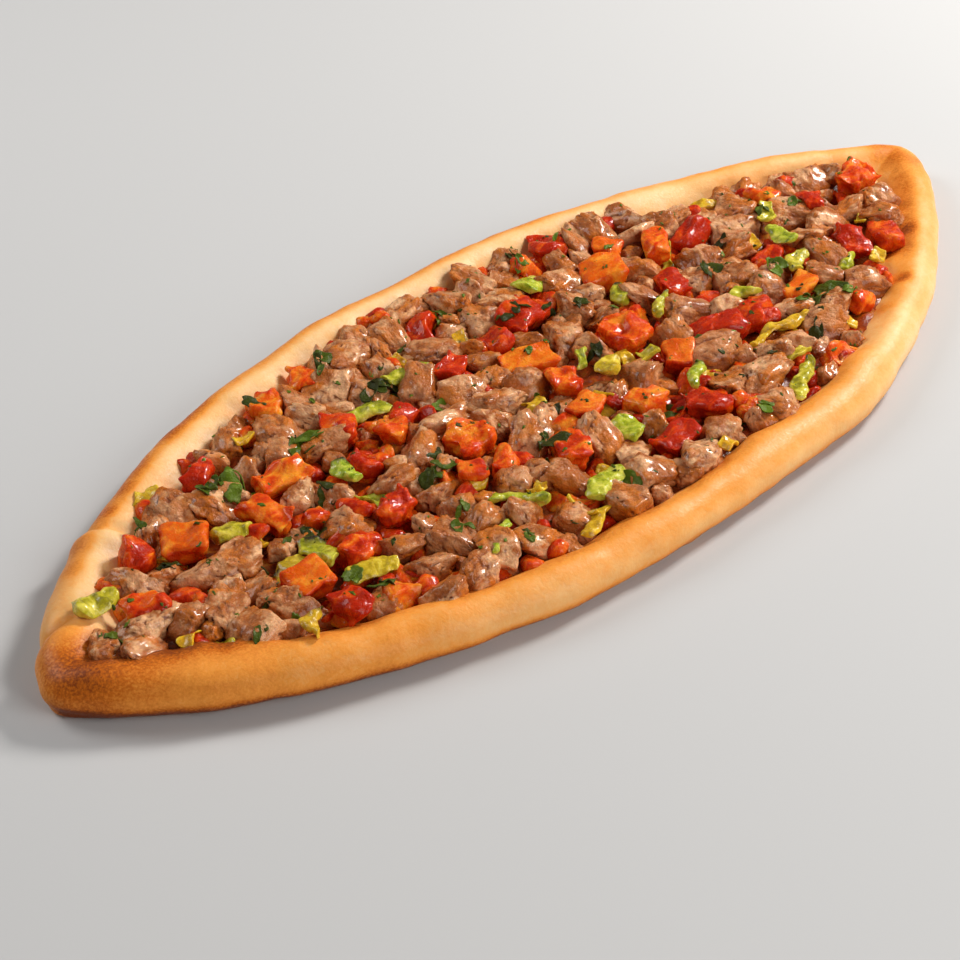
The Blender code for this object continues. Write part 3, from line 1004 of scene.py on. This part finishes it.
for attempt in range(DIE_TRIES):
    share = (attempt / DIE_TRIES) ** 0.8
    radius = LARGEST_DIE + (SMALLEST_DIE - LARGEST_DIE) * share * draw.uniform(0.75, 1.0)
    x = draw.uniform(bed_low.x, bed_high.x)
    y = draw.uniform(bed_low.y, bed_high.y)
    reach = radius * (FAR_REACH if y > 0 else NEAR_REACH)
    sides = ((reach, 0), (-reach, 0), (0, reach), (0, -reach))
    if None in [bed_height(x + dx, y + dy) for dx, dy in sides] or x + radius > LAST_DIE:
        continue
    if toppings.find((x, y, 0))[2] < radius * TOPPING_SPACING:
        continue
    spacing = SMALL_DIE_SPACING + (DIE_SPACING - SMALL_DIE_SPACING) * (1 - share)
    if clearance(x, y, spacing) < spacing * radius:
        continue
    spots.append((x, y, radius, draw.uniform(1.0, 1.4), draw.uniform(0, math.tau)))
spots.sort(key=lambda spot: -spot[2])

dice = {name: bmesh.new() for name in DIE_CUTS}
names = list(dice)
for order, (x, y, radius, slenderness, heading) in enumerate(spots):
    name = names[order * 3 // len(spots)]
    half_sizes = (
        radius * 1.06 * math.sqrt(slenderness),
        radius * 1.06 / math.sqrt(slenderness),
        min(radius * draw.uniform(0.80, 1.05), TALLEST_DIE),
    )
    tip = Matrix.Rotation(draw.gauss(0, 0.24), 3, "X") @ Matrix.Rotation(draw.gauss(0, 0.24), 3, "Y")
    turn = tip @ Matrix.Rotation(heading, 3, "Z")
    top = (bed_height(x, y) or DIE_AT_RIM) + draw.gauss(0.4, 1.0) * MM
    seat = Vector((x, y, max(top - half_sizes[2] * 0.92, LOWEST_DIE + half_sizes[2])))
    add_shape(dice[name], lamb_die(DIE_CUTS[name], half_sizes, turn, seat))

lamb = Finish("roast lamb")
grain_at = lamb.attribute("grain", "Vector")
tone = lamb.attribute("tone")
ridge = lamb.attribute("ridge")
stretched = lamb.scaled(grain_at, (0.55, 1.0, 1.0))
fibres = lamb.bundles(stretched, 800)
muscle = lamb.bundles(stretched, 300)
muscle_relief = lamb.bump(muscle, -0.0008)
wet = lamb.cooked(
    grain_at,
    lamb.bump(fibres, -0.00030, muscle_relief),
    Coarse_Scale=420,
    Fine_Scale=1300,
    Coarse_Depth=0.0009,
    Fine_Depth=0.00025,
    Glossiest=0.16,
    Dullest=0.42,
)
patches = lamb.clouds(grain_at, 110, 3.0, 0.5, 0.6)
pale_share = lamb.band(patches, 0.42, 0.56, 0.0, 0.95)
pale_share = lamb.sum(pale_share, lamb.band(ridge, 0.02, 0.35, 0.05, 0.0))
pale_share = lamb.sum(pale_share, lamb.band(fibres, 0.10, 0.45, 0.2, -0.2))
pale_share = lamb.times(pale_share, lamb.band(tone, 0.0, 1.0, 0.35, 1.15))
lamb_colour = lamb.mix(lamb.band(pale_share, 0, 1), LAMB_ROAST, LAMB_PALE)
glaze_at = lamb.clouds(grain_at, 100, 3.0, 0.5, 0.6)
glaze = lamb.band(glaze_at, 0.49, 0.62, 0.0, 0.85)
glaze = lamb.sum(glaze, lamb.band(ridge, 0.08, 0.40, 0.0, 0.50))
lamb_colour = lamb.mix(lamb.band(glaze, 0, 1), lamb_colour, LAMB_GLAZE)
# Painted shade: darker in the folds, in hollows between ridges and along the grooves between muscle
# bundles, with a few dark spots of the meat's own from the mottle.
crease_shade_and_spots = lamb.times(lamb.attribute("fold"), 0.45)
crease_shade_and_spots = lamb.sum(crease_shade_and_spots, lamb.band(ridge, -0.04, -0.30, 0.0, 0.55))
crease_shade_and_spots = lamb.sum(crease_shade_and_spots, lamb.band(muscle, 0.40, 0.70, 0.0, 0.20))
crease_shade_and_spots = lamb.sum(crease_shade_and_spots, lamb.band(wet["Mottle"], 0.46, 0.34, 0.0, 0.12))
# Lower down the dice turn dark: partly juice, partly painted shade.
lamb_colour = lamb.mix(lamb.times(lamb.attribute("low"), 0.75), lamb_colour, LAMB_JUICE_AND_SHADE)
lamb_colour = lamb.mix(lamb.band(crease_shade_and_spots, 0, 1), lamb_colour, LAMB_DARK)
lamb.dress(
    Base_Color=lamb_colour,
    Roughness=wet["Roughness"],
    Normal=wet["Normal"],
    Coat_Weight=0.30,
    Coat_Roughness=0.05,
    Subsurface_Weight=0.15,
    Subsurface_Radius=(0.0025, 0.0008, 0.0004),
    Subsurface_Scale=1.0,
    Specular_IOR_Level=0.16,
)
for name, kind in dice.items():
    add_piece(name, kind, lamb.material, "lamb")


# ---------------------------------------------------------------- tomato pulp in the gaps
# Soft bits of tomato that have sunk between the dice and cooked down there, so that only their
# tops show. They are strewn wherever no die is in the way.
PULP_BITS = 261
PULP_CUTS = 3
PULP_LOWEST = 8.5 * MM
# Where the pulp ends towards the right nose, and how far it keeps off a die, in the die's radii.
PULP_END = 0.202
PULP_SPACING = 0.78

draw = random.Random(61)
pulp_bits = bmesh.new()
laid = 0
while laid < PULP_BITS:
    x = draw.uniform(bed_low.x, bed_high.x)
    y = draw.uniform(bed_low.y, bed_high.y)
    top = bed_height(x, y)
    if top is None or x > PULP_END or clearance(x, y, PULP_SPACING) < 0:
        continue
    laid += 1
    chunk = rounded_block(PULP_CUTS, 3.0)
    size = draw.uniform(3.8, 6.6)
    bmesh.ops.scale(chunk, vec=Vector((size, size * 0.75, 3.2)) * MM, verts=chunk.verts)
    sunk = max(top - draw.uniform(2.4, 4.6) * MM, PULP_LOWEST)
    lay(chunk, x, y, sunk, draw.uniform(0, 360), tilt=0.3)
    warp(chunk, amount=0.0028, size=0.007, seed=x * 1000)
    roughen(chunk, amount=0.0008, size=0.003, seed=y * 1000)
    settle(chunk)
    mark(chunk, skin=0.0, tone=draw.random(), pulp=1.0, top=0.0)
    add_shape(pulp_bits, chunk)
add_piece("tomato_pulp", pulp_bits, tomato.material, "tomato")


# ---------------------------------------------------------------- parsley
# Flat parsley, torn up and strewn on before baking. The oven has wilted it: dark leaves stuck
# to the meat and curled at the edge, a few still green, with small shreds everywhere.
LEAF_THICKNESS = 0.3 * MM
LEAF_DETAIL = 9
SHRED_DETAIL = 3
SHREDS = 520
PARSLEY_DARK = (0.028, 0.030, 0.003, 1)
PARSLEY_GREEN = (0.105, 0.165, 0.008, 1)
PARSLEY_PALE = (0.30, 0.38, 0.09, 1)
# Leaves that lie on top: x and y in mm, heading, length, and how green from 0 to 1.
LEAVES = (
    (-220, -3, 30, 8, 0.4),
    (-185, 13, 100, 10, 0.0),
    (-180, 35, 35, 10, 0.3),
    (-144, 36, 10, 10, 0.5),
    (-141, 30, 60, 15, 0.9),
    (-134, 32, 80, 9, 0.4),
    (-151, 33, 80, 8, 0.4),
    (-109, 33, 50, 12, 0.5),
    (-125, 5, 0, 11, 0.2),
    (-147, -5, 30, 6, 0.3),
    (-140, -8, 70, 11, 0.1),
    (-91, -17, 25, 12, 0.3),
    (-122, -25, 0, 5, 0.4),
    (-103, -26, 50, 6, 0.4),
    (-176, -27, 0, 5, 0.1),
    (-189, -37, 45, 7, 0.4),
    (-172, -36, 60, 6, 0.8),
    (-97, -37, 20, 8, 0.6),
    (-106, -45, 60, 10, 0.5),
    (-118, -43, 60, 5, 0.5),
    (-144, -47, -20, 14, 0.2),
    (-149, -37, 10, 9, 0.6),
    (-112, -72, 50, 11, 0.4),
    (-93, -66, 60, 7, 0.4),
    (-104, 63, 75, 10, 0.2),
    (-85, 49, 60, 8, 0.7),
    (-70, 60, 30, 6, 0.5),
    (-66, 66, 60, 10, 0.2),
    (-65, 39, 25, 13, 0.1),
    (-35, 52, 0, 5, 0.3),
    (-8, 60, 60, 9, 0.4),
    (46, 70, 60, 10, 0.1),
    (41, 62, 40, 9, 0.8),
    (69, 66, 30, 7, 0.9),
    (47, 50, 40, 12, 0.9),
    (9, 37, 10, 11, 0.0),
    (26, 33, 0, 8, 0.1),
    (33, 23, 60, 9, 0.1),
    (-5, 14, 30, 5, 0.6),
    (40, 10, 0, 7, 0.6),
    (-58, 15, 70, 12, 0.8),
    (-78, -6, 0, 9, 0.1),
    (-24, -7, 40, 6, 0.3),
    (-23, -16, 40, 6, 0.0),
    (13, -2, 10, 9, 0.1),
    (45, -26, -10, 10, 0.3),
    (-52, -34, 60, 15, 0.2),
    (-45, -28, 40, 9, 0.1),
    (1, -38, 60, 6, 0.3),
    (2, -47, 20, 15, 0.3),
    (-33, -55, 0, 5, 0.4),
    (-43, -66, 50, 10, 0.5),
    (26, -74, 60, 10, 0.8),
    (23, -68, 0, 5, 0.6),
    (79, 46, 0, 6, 0.7),
    (86, -53, 10, 9, 0.1),
    (59, -53, 0, 6, 0.0),
    (92, 5, 60, 11, 0.3),
    (110, 17, 70, 11, 0.1),
    (110, -15, 80, 10, 0.9),
    (105, -41, 10, 17, 0.3),
    (97, -39, -10, 9, 0.5),
    (103, -33, 10, 7, 0.1),
    (115, -48, 50, 12, 0.9),
    (162, 14, 30, 8, 0.5),
    (181, 4, 0, 7, 0.7),
    (179, 10, 0, 8, 0.0),
    (120, 45, 20, 6, 0.8),
    (148, 20, 30, 8, 0.5),
)

draw = random.Random(41)
heap_trees = [BVHTree.FromBMesh(piece) for piece in (tomatoes, peppers, *dice.values(), scraps)]


def heap_top(x, y):
    """The highest point of the filling above a place and the slope there, or None."""
    hits = [tree.ray_cast(Vector((x, y, 1)), Vector((0, 0, -1)))[:2] for tree in heap_trees]
    hits = [hit for hit in hits if hit[0] is not None]
    return max(hits, key=lambda hit: hit[0].z) if hits else None


def parsley_leaf(length, detail, crumple):
    """A lobed leaf, cupped along its middle and crumpled, as thin as a real one."""
    leaf = bmesh.new()
    bmesh.ops.create_grid(leaf, x_segments=detail, y_segments=detail, size=1.0)
    seed = draw.uniform(0, 90)
    curl = draw.uniform(-0.5, 0.7)
    slim = draw.uniform(0.28, 0.62)
    for vert in leaf.verts:
        u, v = vert.co.x, vert.co.y
        round_u = u * math.sqrt(1 - v * v / 2)
        round_v = v * math.sqrt(1 - u * u / 2)
        turn = math.atan2(round_v, round_u)
        edge = math.hypot(round_u, round_v)
        lobes = 0.80 + 0.26 * noise.noise(Vector((math.cos(turn), math.sin(turn), seed)) * 1.9)
        spread = 1 + (lobes - 1) * edge
        x, y = round_u * spread, round_v * spread * slim
        cup = curl * y * y * 1.6 + crumple * noise.noise(Vector((x * 1.6, y * 1.6, seed)))
        vert.co = Vector((x, y, cup)) * (length / 2)
    bmesh.ops.solidify(leaf, geom=leaf.faces, thickness=LEAF_THICKNESS)
    bmesh.ops.recalc_face_normals(leaf, faces=leaf.faces)
    return leaf


def rest_on_heap(part, x, y, heading, lift):
    """Lays a small part on the filling at its heading and follows the slope. False if it misses."""
    hit = heap_top(x, y)
    if hit is None:
        return False
    slope = Vector((0, 0, 1)).lerp(hit[1], 0.75).normalized()
    tip = Vector((0, 0, 1)).rotation_difference(slope).to_matrix().to_4x4()
    turn = Matrix.Rotation(math.radians(heading), 4, "Z")
    seat = Matrix.Translation(hit[0] + slope * lift)
    bmesh.ops.transform(part, matrix=seat @ tip @ turn, verts=part.verts)
    settle(part)
    return True


leaves = bmesh.new()
for x, y, heading, length, green in LEAVES:
    # A larger leaf is two or three lobes, fanned out.
    for layer in range(1 + int(length > 7) + int(length > 10)):
        leaf = parsley_leaf(length * MM * draw.uniform(0.9, 1.25), LEAF_DETAIL, crumple=0.30)
        mark(leaf, green=min(1, max(0, green + draw.uniform(-0.2, 0.2))))
        shift = layer * length * 0.3 * MM
        if rest_on_heap(leaf, x * MM + shift, y * MM, heading + layer * 50, lift=0.3 * MM):
            add_shape(leaves, leaf)
for _ in range(SHREDS):
    x = draw.uniform(bed_low.x, bed_high.x)
    y = draw.uniform(bed_low.y, bed_high.y)
    shred = parsley_leaf(draw.choice((1.6, 2.2, 3.0, 4.2)) * MM, SHRED_DETAIL, crumple=0.5)
    mark(shred, green=draw.random())
    if bed_height(x, y) and rest_on_heap(shred, x, y, draw.uniform(0, 360), lift=0.1 * MM):
        add_shape(leaves, shred)

parsley = Finish("wilted parsley")
blade = parsley.cooked(
    parsley.place(),
    Coarse_Scale=420,
    Fine_Scale=1100,
    Coarse_Depth=0.0006,
    Fine_Depth=0.0002,
    Glossiest=0.24,
    Dullest=0.50,
)
freshness = parsley.attribute("green")
parsley_colour = parsley.mix(freshness, PARSLEY_DARK, PARSLEY_GREEN)
pale_veins = parsley.times(freshness, parsley.band(blade["Mottle"], 0.54, 0.66, 0.0, 0.6))
parsley_colour = parsley.mix(pale_veins, parsley_colour, PARSLEY_PALE)
parsley.dress(
    Base_Color=parsley_colour,
    Roughness=blade["Roughness"],
    Normal=blade["Normal"],
    Specular_IOR_Level=0.12,
)
add_piece("parsley_leaves", leaves, parsley.material, None)


# ---------------------------------------------------------------- camera, lights and floor
# The camera looks down along the boat from its left end. A soft key light stands beyond the
# right end, a wider one in front and a weak one behind, over a plain pale floor.
CAMERA_PLACE = Vector((-0.5223, -0.4464, 0.4429))
CAMERA_AIM = Vector((-0.061, -0.013, 0.0))
WARM_WHITE = (1.0, 0.98, 0.96)
lens = bpy.data.cameras.new("camera")
lens.sensor_width = 36
lens.lens = 80.1
camera = bpy.data.objects.new("camera", lens)
camera.location = CAMERA_PLACE
camera.rotation_mode = "QUATERNION"
camera.rotation_quaternion = (CAMERA_AIM - CAMERA_PLACE).to_track_quat("-Z", "Y")
bpy.context.collection.objects.link(camera)
bpy.context.scene.camera = camera
bpy.context.scene.view_settings.view_transform = "Standard"


def add_light(name, place, aim, size, power, colour=(1, 1, 1)):
    """A square softbox that faces what it lights."""
    light = bpy.data.lights.new(name, "AREA")
    light.size = size
    light.energy = power
    light.color = colour
    lamp = bpy.data.objects.new(name, light)
    lamp.location = place
    lamp.rotation_mode = "QUATERNION"
    lamp.rotation_quaternion = (Vector(aim) - Vector(place)).to_track_quat("-Z", "Y")
    bpy.context.collection.objects.link(lamp)


add_light("key", (1.05, -0.08, 0.85), (0, 0, 0), 0.32, 19.2, (1.0, 0.97, 0.93))
add_light("front", (0.05, -1.20, 0.62), (0, 0, 0), 0.8, 10.5, WARM_WHITE)
add_light("back", (-0.45, 0.95, 0.85), (0, 0, 0), 0.6, 7)

world = bpy.data.worlds.new("room")
world.use_nodes = True
background = world.node_tree.nodes["Background"].inputs
background["Color"].default_value = (*WARM_WHITE, 1)
background["Strength"].default_value = 0.14
bpy.context.scene.world = world

ground = bmesh.new()
bmesh.ops.create_grid(ground, x_segments=1, y_segments=1, size=12.0)
floor_mesh = bpy.data.meshes.new("floor")
ground.to_mesh(floor_mesh)
floor = bpy.data.objects.new("floor", floor_mesh)
bpy.context.collection.objects.link(floor)
plaster = Finish("pale floor")
plaster.dress(Base_Color=(0.54, 0.54, 0.54, 1), Roughness=0.8, Specular_IOR_Level=0.2)
floor_mesh.materials.append(plaster.material)
